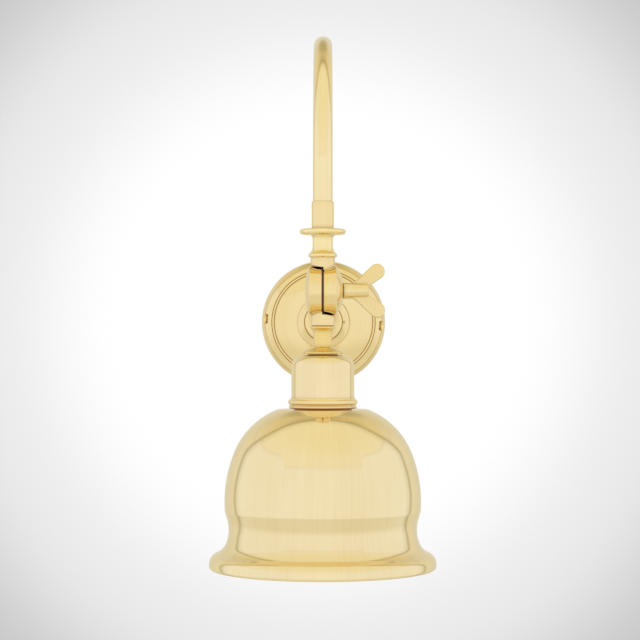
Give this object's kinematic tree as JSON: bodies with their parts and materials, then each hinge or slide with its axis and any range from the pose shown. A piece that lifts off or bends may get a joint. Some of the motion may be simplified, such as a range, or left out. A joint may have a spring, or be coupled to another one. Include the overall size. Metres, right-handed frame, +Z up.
{
  "type": "wall light",
  "caption": "Polished brass wall light: a swan-neck tube from a round wall rose carries a flared bell shade on a knuckle joint clamped by a wing nut.",
  "frame": {"origin": "centre of the wall rose on the plane of the wall", "axes": "+Y into the wall, -Y out into the room, +Z up, +X to the right seen from the room"},
  "size_m": [0.146, 0.357, 0.3598],
  "materials": {
    "spun_brass": "polished and lacquered, with a fine upright grain from spinning and buffing",
    "tube_brass": "polished and lacquered tube",
    "turned_brass": "turned, polished and lacquered",
    "cast_brass": "cast, polished and lacquered",
    "screw_brass": "turned, unlacquered",
    "fitting_brass": "turned, satin",
    "zinc_steel": "zinc plated",
    "spring_steel": "drawn wire",
    "porcelain": "glazed white porcelain",
    "nylon": "moulded natural nylon",
    "flex_sheath": "round white flex",
    "core_sheath": "core insulation"
  },
  "bodies": {
    "wall_arm": {"wall_bracket": "zinc_steel", "wall_rose": "cast_brass", "rose_side_screws": "screw_brass", "earth_screw": "screw_brass", "terminal_block": "nylon", "arm_boss": "turned_brass", "arm_grub_screw": "screw_brass", "arm_lock_washer": "zinc_steel", "arm_back_nut": "fitting_brass", "swan_neck_arm": "tube_brass", "arm_ferrule": "tube_brass", "drip_collar": "turned_brass", "upper_knuckle": "turned_brass", "friction_washer": "nylon", "supply_flex": "flex_sheath", "supply_cores": "core_sheath"},
    "lamp_head": {"lower_knuckle": "turned_brass", "pivot_stud": "screw_brass", "neck_collar": "turned_brass", "threaded_nipple": "fitting_brass", "nipple_locknut": "fitting_brass", "lamp_flex": "flex_sheath", "cover_cup": "spun_brass", "gallery_ring": "turned_brass", "bell_shade": "spun_brass", "shade_ring": "fitting_brass", "lampholder_cap": "fitting_brass", "lampholder_insulator": "porcelain", "lampholder_barrel": "fitting_brass", "lampholder_skirt": "fitting_brass", "holder_terminals": "fitting_brass", "holder_terminal_screws": "screw_brass", "plunger_spring_left": "spring_steel", "plunger_spring_right": "spring_steel"},
    "nut_carriage": {"pressure_washer": "screw_brass"},
    "clamp_nut": {"wing_nut": "cast_brass"},
    "left_plunger": {"contact_plunger_left": "fitting_brass"},
    "right_plunger": {"contact_plunger_right": "fitting_brass"}
  },
  "joints": [
    {"name": "knuckle_tilt", "type": "hinge", "parent": "wall_arm", "child": "lamp_head", "pos_m": [0, -0.284, 0.0176], "axis": [1, 0, 0], "range_deg": [-120, 120]},
    {"name": "nut_travel", "type": "slide", "parent": "lamp_head", "child": "nut_carriage", "axis": [1, 0, 0], "range_m": [0, 0.002]},
    {"name": "wing_nut_turn", "type": "hinge", "parent": "nut_carriage", "child": "clamp_nut", "pos_m": [0, -0.284, 0.0176], "axis": [1, 0, 0], "range_deg": [0, 720]},
    {"name": "plunger_left_push", "type": "slide", "parent": "lamp_head", "child": "left_plunger", "axis": [0, 0, 1], "range_m": [0, 0.003], "stiffness_N_per_m": 900, "springref_m": -0.003, "deforming": ["plunger_spring_left"]},
    {"name": "plunger_right_push", "type": "slide", "parent": "lamp_head", "child": "right_plunger", "axis": [0, 0, 1], "range_m": [0, 0.003], "stiffness_N_per_m": 900, "springref_m": -0.003, "deforming": ["plunger_spring_right"]}
  ],
  "couplings": [
    {"joint": "wing_nut_turn", "follows": "nut_travel", "rad_per_m": 6283.2}
  ]
}
